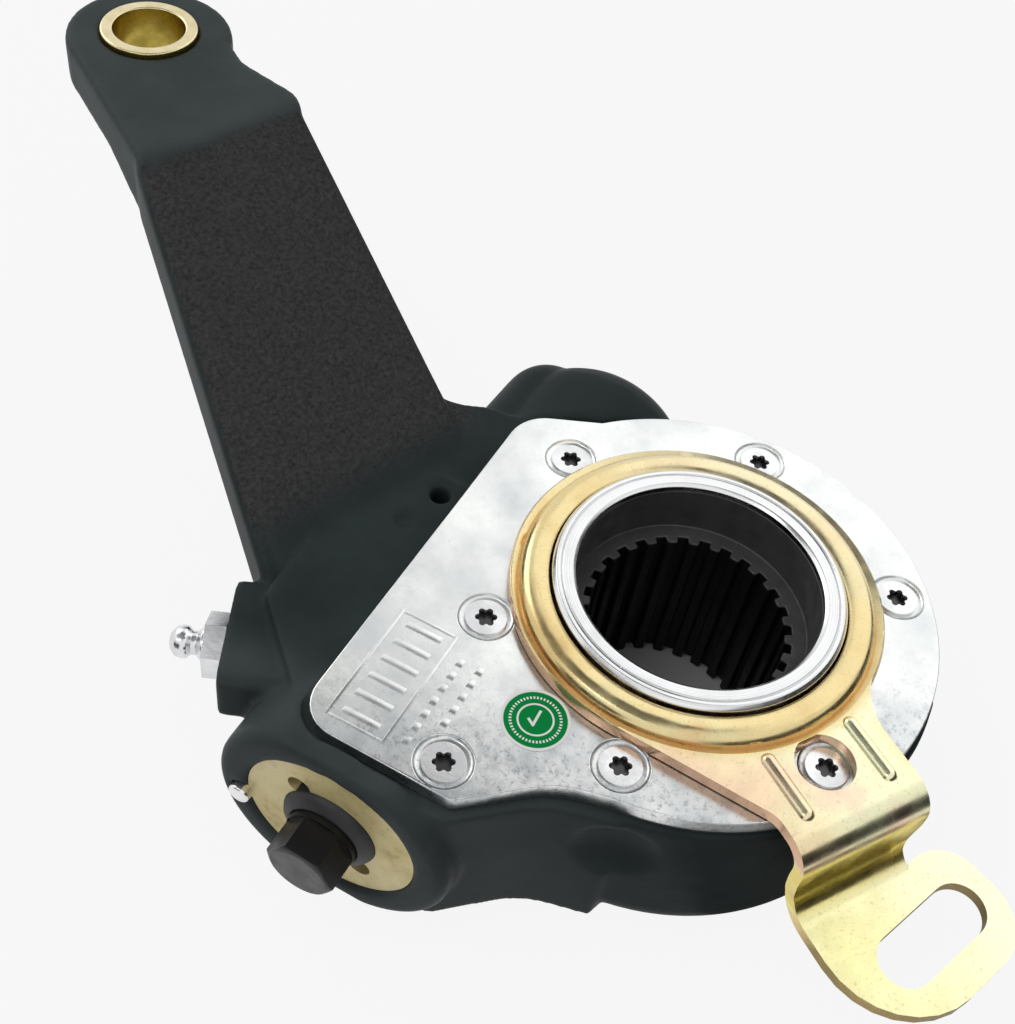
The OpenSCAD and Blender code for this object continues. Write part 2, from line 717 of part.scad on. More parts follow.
// Domed ring: steep outside, and shallow towards the hub ring
module arm_ring() {
    crown_r = (arm_ring_r - disc_in) / 2 - 0.9;
    mid = disc_in + crown_r;
    rise = arm_crown - move_gap;
    foot = arm_t - 0.6;
    brow = arm_t + 1;
    rotate_extrude() translate([0, arm_bottom]) polygon(concat([[disc_in, 0], [arm_ring_r, 0],
        [arm_ring_r, arm_t - 0.4], [arm_ring_r - 0.4, arm_t]],
        [for (a = [0 : 15 : 90]) [mid + crown_r * cos(a), foot + (rise - foot) * sin(a)]],
        [for (a = [105 : 15 : 180]) [mid + crown_r * cos(a), brow + (rise - brow) * sin(a)]]));
}
// Level tab: it leaves the ring along a tangent on one side and round a hollow on the other
module arm_tab() {
    flat_end = tab_bend - bend_in + 0.5;
    hollow = [sqrt(pow(arm_ring_r, 2) - pow(tab_half, 2)) + 1.2, tab_half, 13];
    difference() {
        linear_extrude(arm_t) difference() {
            polygon(rounded([concat(polar(arm_ring_r - 0.2, -57), 0),
                [tab_bend - 7, -tab_half, 6], [flat_end, -tab_half, 0], [flat_end, tab_half, 0], hollow,
                concat(polar(arm_ring_r - 0.2, 51), 0)]));
            circle(r = arm_ring_r - 0.5);
        }
        translate([screw_circle_r, 0, -cut]) cylinder(r = tab_hole_r, h = arm_t + 2 * cut);
    }
    // stiffening beads either side of the hole
    for (s = [-1, 1]) translate([arm_ring_r + 0.3, s * (tab_hole_r + 3.5), arm_t - bead_sunk]) bead();
}
tab_hole_r = 5.5;
bead_r = 1.6;
bead_l = 11;
bead_sunk = 0.6;
module bead() {
    rotate([0, 90, 0]) cylinder(r = bead_r, h = bead_l, $fn = 24);
    for (x = [0, bead_l]) translate([x, 0, 0]) sphere(r = bead_r, $fn = 24);
}
// Web between tab and eye: two bends in the sheet, narrower below
bend_in = 3.5;
low_bend_in = 5;
web_left = 12.9;
web_right = 11.3;
web_end = tab_bend + arm_t + low_bend_in;
module arm_web() {
    profile = rounded([[tab_bend - bend_in - 1, 0, 0], [tab_bend, 0, bend_in],
        [tab_bend, -arm_drop, low_bend_in + arm_t], [web_end + 1, -arm_drop, 0],
        [web_end + 1, arm_t - arm_drop, 0], [tab_bend + arm_t, arm_t - arm_drop, low_bend_in],
        [tab_bend + arm_t, arm_t, bend_in + arm_t], [tab_bend - bend_in - 1, arm_t, 0]]);
    knee = -bend_in - arm_t;
    ankle = low_bend_in - arm_drop;
    front = [[-tab_half, 2 * arm_t], [-tab_half, knee], [-web_left, ankle], [-web_left, -2 * arm_drop],
        [web_right, -2 * arm_drop], [web_right, ankle], [tab_half, knee], [tab_half, 2 * arm_t]];
    intersection() {
        translate([0, tab_w, 0]) rotate([90, 0, 0]) linear_extrude(2 * tab_w) polygon(profile);
        rotate([90, 0, 90]) linear_extrude(2 * web_end) polygon(front);
    }
}
// Slotted eye, turned a little against the tab
slot_u = tab_bend + 17.7;
slot_v = 7.4;
slot_turn = 11.5;
eye_side = slot_w / 2 + 6.2;
eye_end = slot_l / 2 + 4;
function by_slot(n, s, r) = [slot_u + n * cos(slot_turn) - s * sin(slot_turn),
    slot_v + n * sin(slot_turn) + s * cos(slot_turn), r];
module arm_eye() {
    translate([0, 0, -arm_drop]) linear_extrude(arm_t) difference() {
        polygon(rounded([[web_end + 0.5, -web_left, 0], by_slot(eye_side, -eye_end - 6.8, 16),
            by_slot(eye_side, eye_end, 10.5), by_slot(-eye_side, eye_end, 7.5),
            [web_end - 2, web_right - 0.4, 2], [web_end + 0.5, web_right - 0.4, 0]]));
        translate([slot_u, slot_v]) rotate(slot_turn) slot_outline();
    }
}
module slot_outline() {
    square([slot_w, slot_l - slot_w], center = true);
    for (s = [-1, 1]) translate([0, s * (slot_l - slot_w) / 2]) circle(d = slot_w);
}
module control_arm() {
    color("#c8a94a") {
        arm_ring();
        at_tab() {
            arm_tab();
            arm_web();
            arm_eye();
        }
    }
}

rivet_places = [for (i = [0 : 2]) polar(rivet_r, arm_angle + 60 + 120 * i)];
rivet_d = 2.4;
rivet_l = 5;
module control_disc() {
    color("#777b7e") difference() {
        union() {
            translate([0, 0, disc_bottom]) cylinder(r = disc_r, h = disc_t);
            translate([0, 0, disc_bottom]) cylinder(r = collar_r, h = arm_bottom - disc_bottom);
        }
        cylinder(r = disc_in, h = 2 * hub_depth);
        rotate(notch_angle) translate([notch_r - 3, -notch_w / 2, disc_bottom - cut])
            cube([8, notch_w, disc_t + cut + move_gap]);
        for (p = rivet_places) translate([p.x, p.y, arm_bottom - rivet_l])
            cylinder(d = rivet_d, h = 2 * rivet_l);
    }
}
notch_w = 10;

module disc_rivets() {
    color("#8e9295") for (p = rivet_places) translate([p.x, p.y, arm_bottom - rivet_l])
        cylinder(d = rivet_d, h = rivet_l);
}

module rack() {
    teeth = floor((rack_y1 - rack_y0) / rack_pitch / 2);
    low = rack_z + gear_module * 1.2;
    color("#6c7073") {
        translate([rack_x - rack_w / 2, rack_y0, low]) cube([rack_w, rack_y1 - rack_y0, rack_top - low]);
        for (i = [-teeth : teeth - 1]) let (y = worm_y + (i + 0.5) * rack_pitch)
            if (y < rack_y1 - 1 && y > rack_y0 + 1) translate([rack_x - rack_w / 2, y, 0]) rack_tooth(low);
        translate([leg_x, foot_y - foot_w / 2, foot_bottom])
            cube([foot_tip - leg_x, foot_w, foot_top - foot_bottom]);
        translate([leg_x, foot_y - foot_w / 2, foot_bottom])
            cube([leg_w, rack_y0 - foot_y + foot_w * 1.5, foot_top - foot_bottom]);
    }
}
module rack_tooth(low) {
    add = gear_module * 0.85;
    tip = gear_tooth_half - flank * add;
    root = gear_tooth_half + flank * (low - rack_z);
    rotate([90, 0, 90]) linear_extrude(rack_w)
        polygon([[-root, low + 0.2], [-tip, rack_z - add], [tip, rack_z - add], [root, low + 0.2]]);
}

module clutch_gear() {
    tip_r = gear_pitch_r + gear_module * 0.85;
    root_r = gear_pitch_r - gear_module * 1.2;
    tip = gear_tooth_half - flank * gear_module * 0.85;
    root = gear_tooth_half + flank * gear_module * 1.2;
    color("#85898b") on_worm(gear_x) difference() {
        union() {
            cylinder(r = root_r, h = gear_w);
            for (i = [0 : gear_n - 1]) rotate(180 + 360 * i / gear_n) linear_extrude(gear_w)
                polygon([[root_r - 0.4, -root], [tip_r, -tip], [tip_r, tip], [root_r - 0.4, root]]);
        }
        translate([0, 0, -cut]) cylinder(r = shaft_r + run_fit, h = gear_w + 2 * cut);
    }
}

module one_way_spring() {
    color("#5f6366") on_worm(spring_x + one_way_wire)
        coil(shaft_r + one_way_wire + 0.5, one_way_wire, 2 * one_way_wire + 0.1, one_way_turns);
}

housing();
clevis_bush();
cover_plate();
cover_gasket();
cover_screws();
cover_seal();
end_cap();
cap_o_ring();
cap_lock_pin();
shaft_seal();
grease_nipple();
thrust_bearing();
spring_seat();
main_spring();
rear_seal();
worm_wheel();
hub_ring();
adjuster_shaft();
worm_screw();
clutch_ring();
control_arm();
control_disc();
disc_rivets();
rack();
clutch_gear();
one_way_spring();
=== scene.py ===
import json
import math

import bmesh
import bpy
from mathutils import Matrix, Vector


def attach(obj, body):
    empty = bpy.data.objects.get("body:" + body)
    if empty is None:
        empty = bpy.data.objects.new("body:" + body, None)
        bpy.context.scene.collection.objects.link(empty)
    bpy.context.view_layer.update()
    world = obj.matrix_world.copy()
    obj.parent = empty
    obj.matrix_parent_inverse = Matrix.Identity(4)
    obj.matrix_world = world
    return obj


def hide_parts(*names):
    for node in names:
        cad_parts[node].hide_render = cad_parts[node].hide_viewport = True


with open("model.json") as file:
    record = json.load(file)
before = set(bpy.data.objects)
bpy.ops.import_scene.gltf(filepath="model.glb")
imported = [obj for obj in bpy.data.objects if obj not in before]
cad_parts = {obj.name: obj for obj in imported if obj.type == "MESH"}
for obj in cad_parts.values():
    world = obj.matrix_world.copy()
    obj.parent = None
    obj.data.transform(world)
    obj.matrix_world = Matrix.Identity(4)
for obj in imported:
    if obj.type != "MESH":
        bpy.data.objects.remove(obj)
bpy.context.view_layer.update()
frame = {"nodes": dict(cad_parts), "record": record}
cadNodes = frame["nodes"]
record = frame["record"]
coverTop = max(vert.co.z for vert in cadNodes["cover_plate"].data.vertices)
clevisBore = next(mount["pos_m"] for mount in record["mounts"] if mount["name"] == "clevis_bore")
scene = bpy.context.scene
mm = 0.001
mergeWithin = 2e-6                     # CAD corners closer than this are one


def addObject(name, data):
    made = bpy.data.objects.new(name, data)
    scene.collection.objects.link(made)
    return made


def meshFrom(work, name):
    mesh = bpy.data.meshes.new(name)
    work.to_mesh(mesh)
    work.free()
    return mesh


# camera, fitted to the round forms of the photograph
shot = {
    "place": (-167.98 * mm, -22.09 * mm, 251.96 * mm),
    "right": (0.4693, -0.8755, 0.1155),
    "up": (0.6381, 0.4266, 0.6409),
    "back": (-0.6105, -0.2270, 0.7588),
    "lens": 49.22,
    "sensor": 36,
    "clip": (0.01, 20),
}


def placeCamera():
    cameraData = bpy.data.cameras.new("shotCamera")
    cameraData.lens = shot["lens"]
    cameraData.sensor_width = shot["sensor"]
    cameraData.clip_start, cameraData.clip_end = shot["clip"]
    camera = addObject("shotCamera", cameraData)
    turn = Matrix((shot["right"], shot["up"], shot["back"])).transposed()
    camera.matrix_world = Matrix.Translation(shot["place"]) @ turn.to_4x4()
    scene.camera = camera


placeCamera()
print("camera placed")

# plain studio: white surround, soft lamps, a floor that keeps the shadow
studio = {
    "ambient": 0.36,
    "floorSize": 6.0,
    "floorDrop": 0.4 * mm,
    "floorLift": 0.90,                  # share of plain white in what the camera sees of the floor
    "floorShade": (24 * mm, 32 * mm),   # under the hub the floor is left to its own shadow and painted darker
    "floorToneAndShadow": (0.30, 0.45),         # colour of the floor: painted shadow under the hub, plain elsewhere
    "lamps": [
        # name, place, aim, size, watts
        ("keyLamp", (-0.30, 0.35, 0.95), (0.0, 0.05, 0.03), 0.6, 3.2),
        ("fillLamp", (0.80, -0.20, 0.70), (0.0, 0.05, 0.03), 1.1, 1.2),
        ("rimLamp", (0.25, 0.95, 0.55), (0.0, 0.05, 0.04), 0.6, 1.6),
    ],
    "cards": [
        # cards seen only as painted dark reflections in the metal: name, place, aim, width, height, grey
        ("leftCard", (-0.60, 0.30, 0.16), (0.0, 0.0, 0.05), 0.50, 0.34, 0.06),
        ("frontCard", (0.30, -0.75, 0.20), (0.30, 0.0, 0.20), 2.60, 0.42, 0.07),
        ("ceilingCard", (-0.06, 0.32, 0.745), (-0.06, 0.32, 0.0), 0.76, 0.82, 0.38),
        ("nearCard", (0.020, -0.077, 0.001), (0.020, -0.077, 1.0), 0.182, 0.094, 0.55),
        ("tableCard", (-0.25, -0.485, 0.002), (-0.25, -0.485, 1.0), 1.20, 0.53, 0.20),
    ],
}


def aimAt(place, target):
    return (Vector(place) - Vector(target)).to_track_quat("Z", "Y").to_matrix().to_4x4()


def surroundShare(tree):
    # 1 for camera, glossy and transmission rays, 0 for the rays that light the object
    paths = tree.nodes.new("ShaderNodeLightPath")
    share = paths.outputs["Is Camera Ray"]
    for ray in ("Is Glossy Ray", "Is Transmission Ray"):
        either = tree.nodes.new("ShaderNodeMath")
        either.operation = "MAXIMUM"
        tree.links.new(share, either.inputs[0])
        tree.links.new(paths.outputs[ray], either.inputs[1])
        share = either.outputs[0]
    return share


def setSurround():
    world = bpy.data.worlds.new("whiteSurround")
    world.use_nodes = True
    tree = world.node_tree
    tree.nodes.clear()
    output = tree.nodes.new("ShaderNodeOutputWorld")
    mix = tree.nodes.new("ShaderNodeMixShader")
    tree.links.new(surroundShare(tree), mix.inputs[0])
    # what lights the object, then what is seen
    for slot, strength in ((1, studio["ambient"]), (2, 1.0)):
        light = tree.nodes.new("ShaderNodeBackground")
        light.inputs["Strength"].default_value = strength
        light.inputs["Color"].default_value = (1, 1, 1, 1)
        tree.links.new(light.outputs[0], mix.inputs[slot])
    tree.links.new(mix.outputs[0], output.inputs["Surface"])
    scene.world = world


def layFloor():
    work = bmesh.new()
    bmesh.ops.create_grid(work, x_segments=1, y_segments=1, size=studio["floorSize"] / 2)
    mesh = meshFrom(work, "studioFloor")
    floor = addObject("studioFloor", mesh)
    floor.location.z = -studio["floorDrop"]
    paint = bpy.data.materials.new("floorWhite")
    paint.use_nodes = True
    tree = paint.node_tree
    tree.nodes.clear()
    output = tree.nodes.new("ShaderNodeOutputMaterial")
    spot = tree.nodes.new("ShaderNodeTexCoord")
    away = tree.nodes.new("ShaderNodeVectorMath")
    away.operation = "LENGTH"
    tree.links.new(spot.outputs["Object"], away.inputs[0])
    shadeFrom, shadeTo = studio["floorShade"]
    outside = tree.nodes.new("ShaderNodeMapRange")
    outside.inputs["From Min"].default_value = shadeFrom
    outside.inputs["From Max"].default_value = shadeTo
    tree.links.new(away.outputs["Value"], outside.inputs["Value"])
    # painted shadow: the floor's colour is darker under the hub, where it shows through the bore
    paintedShadowTone, openTone = studio["floorToneAndShadow"]
    tone = tree.nodes.new("ShaderNodeMapRange")
    tone.inputs["To Min"].default_value = paintedShadowTone
    tone.inputs["To Max"].default_value = openTone
    tree.links.new(outside.outputs["Result"], tone.inputs["Value"])
    matt = tree.nodes.new("ShaderNodeBsdfDiffuse")
    tree.links.new(tone.outputs["Result"], matt.inputs["Color"])
    glow = tree.nodes.new("ShaderNodeEmission")
    glow.inputs["Color"].default_value = (1, 1, 1, 1)
    glow.inputs["Strength"].default_value = 1.0
    lift = tree.nodes.new("ShaderNodeMath")
    lift.operation = "MULTIPLY"
    lift.inputs[1].default_value = studio["floorLift"]
    tree.links.new(outside.outputs["Result"], lift.inputs[0])
    share = tree.nodes.new("ShaderNodeMath")
    share.operation = "MULTIPLY"
    tree.links.new(surroundShare(tree), share.inputs[0])
    tree.links.new(lift.outputs[0], share.inputs[1])
    mix = tree.nodes.new("ShaderNodeMixShader")
    tree.links.new(share.outputs[0], mix.inputs[0])
    tree.links.new(matt.outputs[0], mix.inputs[1])
    tree.links.new(glow.outputs[0], mix.inputs[2])
    tree.links.new(mix.outputs[0], output.inputs["Surface"])
    mesh.materials.append(paint)


def hangLamps():
    for name, place, aim, size, watts in studio["lamps"]:
        lampData = bpy.data.lights.new(name, "AREA")
        lampData.energy = watts
        lampData.size = size
        lamp = addObject(name, lampData)
        lamp.matrix_world = Matrix.Translation(place) @ aimAt(place, aim)


def standCards():
    for name, place, aim, width, height, grey in studio["cards"]:
        paint = bpy.data.materials.new(name)
        paint.use_nodes = True
        shader = paint.node_tree.nodes["Principled BSDF"]
        shader.inputs["Base Color"].default_value = (grey, grey, grey, 1)
        shader.inputs["Roughness"].default_value = 1.0
        shader.inputs["Specular IOR Level"].default_value = 0.0
        work = bmesh.new()
        bmesh.ops.create_grid(work, x_segments=1, y_segments=1, size=0.5)
        bmesh.ops.scale(work, vec=(width, height, 1), verts=work.verts)
        mesh = meshFrom(work, name)
        card = addObject(name, mesh)
        card.matrix_world = Matrix.Translation(place) @ aimAt(place, aim)
        # hidden from the camera, from diffuse light and from shadows: painted reflections that only the
        # metal shows
        card.visible_camera = False
        card.visible_diffuse = False
        card.visible_shadow = False
        mesh.materials.append(paint)


setSurround()
layFloor()
hangLamps()
standCards()
print("studio set")


class Finish:
    # one material with its shader, and short ways to add texture nodes
    def __init__(self, name, roughness, metallic, gloss=0.5):
        self.paint = bpy.data.materials.new(name)
        self.paint.use_nodes = True
        self.tree = self.paint.node_tree
        self.shader = self.tree.nodes["Principled BSDF"]
        self.shader.inputs["Roughness"].default_value = roughness
        self.shader.inputs["Metallic"].default_value = metallic
        self.shader.inputs["Specular IOR Level"].default_value = gloss
        spot = self.tree.nodes.new("ShaderNodeTexCoord")
        self.place = spot.outputs["Object"]
        self.facing = spot.outputs["Normal"]

    def link(self, output, socket):
        self.tree.links.new(output, socket)

    def mapped(self, move=(0, 0, 0), turn=(0, 0, 0), stretch=(1, 1, 1)):
        node = self.tree.nodes.new("ShaderNodeMapping")
        node.vector_type = "TEXTURE"
        node.inputs["Location"].default_value = move
        node.inputs["Rotation"].default_value = turn
        node.inputs["Scale"].default_value = stretch
        self.link(self.place, node.inputs["Vector"])
        return node.outputs[0]

    def noise(self, size, detail=3.0, rough=0.55, vector=None):
        # size is the width of a blotch in metres
        node = self.tree.nodes.new("ShaderNodeTexNoise")
        node.inputs["Scale"].default_value = 1 / size
        node.inputs["Detail"].default_value = detail
        node.inputs["Roughness"].default_value = rough
        self.link(vector or self.place, node.inputs["Vector"])
        return node.outputs["Fac"]

    def ramp(self, value, stops):
        node = self.tree.nodes.new("ShaderNodeValToRGB")
        self.link(value, node.inputs["Fac"])
        ends = node.color_ramp.elements
        while len(ends) < len(stops):
            ends.new(0.5)
        for end, (spot, colour) in zip(ends, stops):
            end.position = spot
            end.color = colour + (1,)
        return node.outputs["Color"]

    def twoTone(self, value, tones, low=0.3, high=0.7):
        # from a dark tone to a light one
        return self.ramp(value, [(low, tones[0]), (high, tones[1])])

    def span(self, value, low, high, newLow=0.0, newHigh=1.0):
        node = self.tree.nodes.new("ShaderNodeMapRange")
        node.interpolation_type = "SMOOTHSTEP"
        node.inputs["From Min"].default_value = low
        node.inputs["From Max"].default_value = high
        node.inputs["To Min"].default_value = newLow
        node.inputs["To Max"].default_value = newHigh
        self.link(value, node.inputs["Value"])
        return node.outputs["Result"]

    def sums(self, kind, first, second=0.0):
        node = self.tree.nodes.new("ShaderNodeMath")
        node.operation = kind
        for socket, value in zip(node.inputs, (first, second)):
            if isinstance(value, (int, float)):
                socket.default_value = value
            else:
                self.link(value, socket)
        return node.outputs[0]

    def mix(self, share, first, second):
        node = self.tree.nodes.new("ShaderNodeMix")
        node.data_type = "RGBA"
        self.link(share, node.inputs["Factor"])
        # inputs 6 and 7 and output 2 are the node's colours
        for socket, value in ((node.inputs[6], first), (node.inputs[7], second)):
            if isinstance(value, tuple):
                socket.default_value = value + (1,)
            else:
                self.link(value, socket)
        return node.outputs[2]

    def axis(self, letter, vector=None):
        node = self.tree.nodes.new("ShaderNodeSeparateXYZ")
        self.link(vector or self.place, node.inputs[0])
        return node.outputs[letter]

    def dot(self, direction):
        node = self.tree.nodes.new("ShaderNodeVectorMath")
        node.operation = "DOT_PRODUCT"
        node.inputs[1].default_value = direction
        self.link(self.place, node.inputs[0])
        return node.outputs["Value"]

    def radius(self, vector=None):
        # distance from the Z axis
        squareX = self.sums("POWER", self.axis("X", vector), 2.0)
        squareY = self.sums("POWER", self.axis("Y", vector), 2.0)
        return self.sums("SQRT", self.sums("ADD", squareX, squareY))

    def colour(self, output):
        self.link(output, self.shader.inputs["Base Color"])

    def roughness(self, output):
        self.link(output, self.shader.inputs["Roughness"])

    def bump(self, height, depth, strength):
        # depth in metres
        node = self.tree.nodes.new("ShaderNodeBump")
        node.inputs["Distance"].default_value = depth
        node.inputs["Strength"].default_value = strength
        self.link(height, node.inputs["Height"])
        last = self.shader.inputs["Normal"]
        if last.is_linked:
            self.link(last.links[0].from_socket, node.inputs["Normal"])
        self.link(node.outputs[0], last)


# level directions at right angles to the lever's bend and along it
leverAlong = (0.3605, 0.9327, 0)
leverAcross = (0.9327, -0.3605, 0)

# black paint of the casting
paintLook = {
    "sandFrom": (57 * mm, 68 * mm),            # sandy grain between these, along the lever
    "sandTo": (136 * mm, 132 * mm),
    "sandFacing": (0.45, 0.8),                 # on faces that look up
    "bossAcross": (-4 * mm, 2 * mm),           # beside the lever's root the worm boss stays smooth
    "bossAlong": (84 * mm, 76 * mm),
    "eyeFrom": (126 * mm, 140 * mm),           # lighter, greyer tone on the eye
    "bossTopFrom": (-44 * mm, -54 * mm),       # and on the worm boss towards its hexagon, along X
    "smoothTones": ((0.021, 0.0275, 0.028), (0.032, 0.042, 0.042)),
    "greyTones": ((0.041, 0.050, 0.051), (0.057, 0.069, 0.070)),
    "sandTones": ((0.026, 0.026, 0.0265), (0.076, 0.075, 0.076)),
    "roughness": (0.42, 0.75),                 # smooth and sandy
}


def castingPaint():
    # smooth and green-grey on body and eye, lighter and greyer on the eye and on the worm boss towards its
    # hexagon, sandy grain on the lever's long face
    look = paintLook
    finish = Finish("castingPaint", roughness=0.5, metallic=0.0, gloss=0.03)
    along = finish.dot(leverAlong)
    pastRoot = finish.span(along, *look["sandFrom"])
    beforeEye = finish.span(along, *look["sandTo"])
    upward = finish.span(finish.axis("Z", finish.facing), *look["sandFacing"])
    sandy = finish.sums("MULTIPLY", finish.sums("MULTIPLY", pastRoot, beforeEye), upward)
    beside = finish.sums("MULTIPLY", finish.span(finish.dot(leverAcross), *look["bossAcross"]),
                         finish.span(along, *look["bossAlong"]))
    sandy = finish.sums("MULTIPLY", sandy, finish.span(beside, 0, 1, 1, 0))
    blotch = finish.noise(18 * mm, detail=4)
    grain = finish.noise(0.9 * mm, detail=4, rough=0.7)
    greyer = finish.sums("MAXIMUM", finish.span(along, *look["eyeFrom"]),
                         finish.span(finish.axis("X"), *look["bossTopFrom"]))
    smoothTone = finish.mix(greyer, finish.twoTone(blotch, look["smoothTones"]),
                            finish.twoTone(blotch, look["greyTones"]))
    sandTone = finish.twoTone(grain, look["sandTones"], high=0.75)
    finish.colour(finish.mix(sandy, smoothTone, sandTone))
    finish.roughness(finish.span(sandy, 0, 1, *look["roughness"]))
    finish.bump(finish.noise(1.0 * mm, rough=0.6), depth=0.12 * mm, strength=0.35)
    finish.bump(finish.sums("MULTIPLY", grain, sandy), depth=0.45 * mm, strength=0.6)
    finish.bump(finish.noise(7 * mm, detail=2), depth=0.5 * mm, strength=0.2)
    return finish.paint


# bright zinc of the cover
zincLook = {
    "tones": [(0.25, (0.62, 0.65, 0.66)), (0.5, (0.78, 0.80, 0.79)), (0.8, (0.87, 0.89, 0.86))],
    "brushTurn": (0, 0, 0.6),
    "brushStretch": (6, 1, 1),
    "dullTowards": (-0.83, -0.556, 0),         # the low edge
    "dullFrom": (8 * mm, 40 * mm),
    "dullTone": (0.48, 0.50, 0.52),
    "speckTone": (0.22, 0.23, 0.24),
    "speckShare": (0.08, 0.6),                 # on the bright and the darker part
    "roughness": (0.36, 0.22),
}


def coverZinc():
    # cloudy, darker in patches and speckled towards its low edge
    look = zincLook
    finish = Finish("coverZinc", roughness=0.3, metallic=1.0)
    cloud = finish.noise(15 * mm, detail=4)
    brushed = finish.mapped(turn=look["brushTurn"], stretch=look["brushStretch"])
    brush = finish.noise(1.2 * mm, rough=0.6, vector=brushed)
    tint = finish.ramp(cloud, look["tones"])
    dull = finish.span(finish.dot(look["dullTowards"]), *look["dullFrom"])
    blotch = finish.span(finish.noise(6 * mm, detail=4, rough=0.65), 0.40, 0.68, 0.1, 0.9)
    patchy = finish.sums("MULTIPLY", dull, blotch)
    speck = finish.span(finish.noise(1.0 * mm, detail=4, rough=0.75), 0.50, 0.68)
    spots = finish.sums("MULTIPLY", speck, finish.span(dull, 0, 1, *look["speckShare"]))
    dulled = finish.mix(patchy, tint, look["dullTone"])
    finish.colour(finish.mix(spots, dulled, look["speckTone"]))
    finish.roughness(finish.span(cloud, 0.25, 0.75, *look["roughness"]))
    finish.bump(brush, depth=0.03 * mm, strength=0.4)
    finish.bump(finish.noise(5 * mm), depth=0.12 * mm, strength=0.35)
    return finish.paint


# yellow chromate of the control arm
goldLook = {
    "across": (0.8339, -0.5519, 0),            # level direction across the tab and the eye
    "ringTones": [(0.28, (0.60, 0.44, 0.19)), (0.45, (0.76, 0.61, 0.31)),
                  (0.58, (0.73, 0.63, 0.34)), (0.72, (0.70, 0.50, 0.26))],
    "tabTones": [(0.25, (0.80, 0.66, 0.36)), (0.40, (0.88, 0.84, 0.54)), (0.52, (0.84, 0.85, 0.56)),
                 (0.64, (0.84, 0.64, 0.48)), (0.85, (0.76, 0.62, 0.34))],
    "eyeTones": [(0.3, (0.84, 0.78, 0.36)), (0.7, (0.88, 0.86, 0.50))],
    "ringHighlightSpan": (6 * mm, 34 * mm, 0.0, 0.5),          # painted highlight along X: from, to, share at both
    "ringHighlightTone": (0.86, 0.80, 0.60),
    "tabPinker": (2 * mm, -16 * mm, 0.0, 0.65),        # across: from, to, share at both
    "tabPink": (0.80, 0.60, 0.38),
    # painted highlight, paler across the eye towards its bright side: from, to, share at both
    "eyeHighlightSpan": (-12 * mm, 22 * mm, 0.0, 0.7),
    "eyeHighlightTone": (0.92, 0.91, 0.72),
    "ringEdge": (37.5 * mm, 34.5 * mm),        # distance from the bore's axis where tab turns to ring
    "eyeBelow": (36 * mm, 31 * mm),            # height where tab turns to eye
    "bendBelow": (43.5 * mm, 41.5 * mm),       # the double bend, stained deeper yellow
    "bendAbove": (30 * mm, 32 * mm),
    "bendTone": (0.80, 0.66, 0.20),
    "uprightFacing": (0.55, 0.2, 0.0, 0.7),    # sheared edges
    "edgesAbove": (42 * mm, 44 * mm),          # of ring and tab; on the dome's steep flanks this brown is painted shade
    "edgeAndShadeTone": (0.66, 0.36, 0.24),
    "rimsBelow": (31 * mm, 30 * mm),           # of the eye and its slot
    "rimTone": (0.80, 0.54, 0.20),
    "speckTone": (0.34, 0.24, 0.09),
}


def armGold():
    # brown gold on the domed ring, green and pink yellow on tab and eye
    look = goldLook
    finish = Finish("armGold", roughness=0.25, metallic=1.0)
    cloud = finish.noise(20 * mm, rough=0.5)
    width = finish.dot(look["across"])
    height = finish.axis("Z")
    ringTone = finish.ramp(cloud, look["ringTones"])
    # painted highlight: the ring paler towards +X
    ringTone = finish.mix(finish.span(finish.axis("X"), *look["ringHighlightSpan"]), ringTone, look["ringHighlightTone"])
    tabTone = finish.ramp(cloud, look["tabTones"])
    tabTone = finish.mix(finish.span(width, *look["tabPinker"]), tabTone, look["tabPink"])
    eyeTone = finish.ramp(cloud, look["eyeTones"])
    # painted highlight: the eye paler across towards its bright side
    eyeTone = finish.mix(finish.span(width, *look["eyeHighlightSpan"]), eyeTone, look["eyeHighlightTone"])
    tint = finish.mix(finish.span(finish.radius(), *look["ringEdge"]), tabTone, ringTone)
    tint = finish.mix(finish.span(height, *look["eyeBelow"]), tint, eyeTone)
    bend = finish.sums("MULTIPLY", finish.span(height, *look["bendBelow"]),
                       finish.span(height, *look["bendAbove"]))
    tint = finish.mix(bend, tint, look["bendTone"])
    steep = finish.sums("ABSOLUTE", finish.axis("Z", finish.facing))
    upright = finish.span(steep, *look["uprightFacing"])
    # brown on steep faces above the tab: the sheared edges' own tone, and painted shade on the dome's steep
    # flanks
    edges = finish.sums("MULTIPLY", upright, finish.span(height, *look["edgesAbove"]))
    tint = finish.mix(edges, tint, look["edgeAndShadeTone"])
    rims = finish.sums("MULTIPLY", upright, finish.span(height, *look["rimsBelow"]))
    tint = finish.mix(rims, tint, look["rimTone"])
    specks = finish.span(finish.noise(0.7 * mm, rough=0.7), 0.54, 0.80, 0.0, 0.5)
    finish.colour(finish.mix(specks, tint, look["speckTone"]))
    finish.roughness(finish.span(finish.noise(6 * mm), 0.3, 0.7, 0.18, 0.30))
    finish.bump(finish.noise(1.5 * mm), depth=0.03 * mm, strength=0.3)
    return finish.paint


def turnedSteel(name, tones, lineWidth):
    # lathe lines round the Z axis
    finish = Finish(name, roughness=0.22, metallic=1.0)
    reach = finish.tree.nodes.new("ShaderNodeCombineXYZ")
    finish.link(finish.radius(), reach.inputs["X"])
    lines = finish.noise(lineWidth, detail=2, rough=0.6, vector=reach.outputs[0])
    finish.colour(finish.twoTone(lines, tones))
    finish.roughness(finish.span(finish.noise(9 * mm), 0.3, 0.7, 0.16, 0.32))
    finish.bump(lines, depth=0.03 * mm, strength=0.4)
    return finish.paint


# painted shade that darkens a screw low in its socket
socketShade = {
    "below": 0.4 * mm,                         # starts this far below the cover's top
    "depth": 0.8 * mm,
    "tone": (0.07, 0.07, 0.07),
}


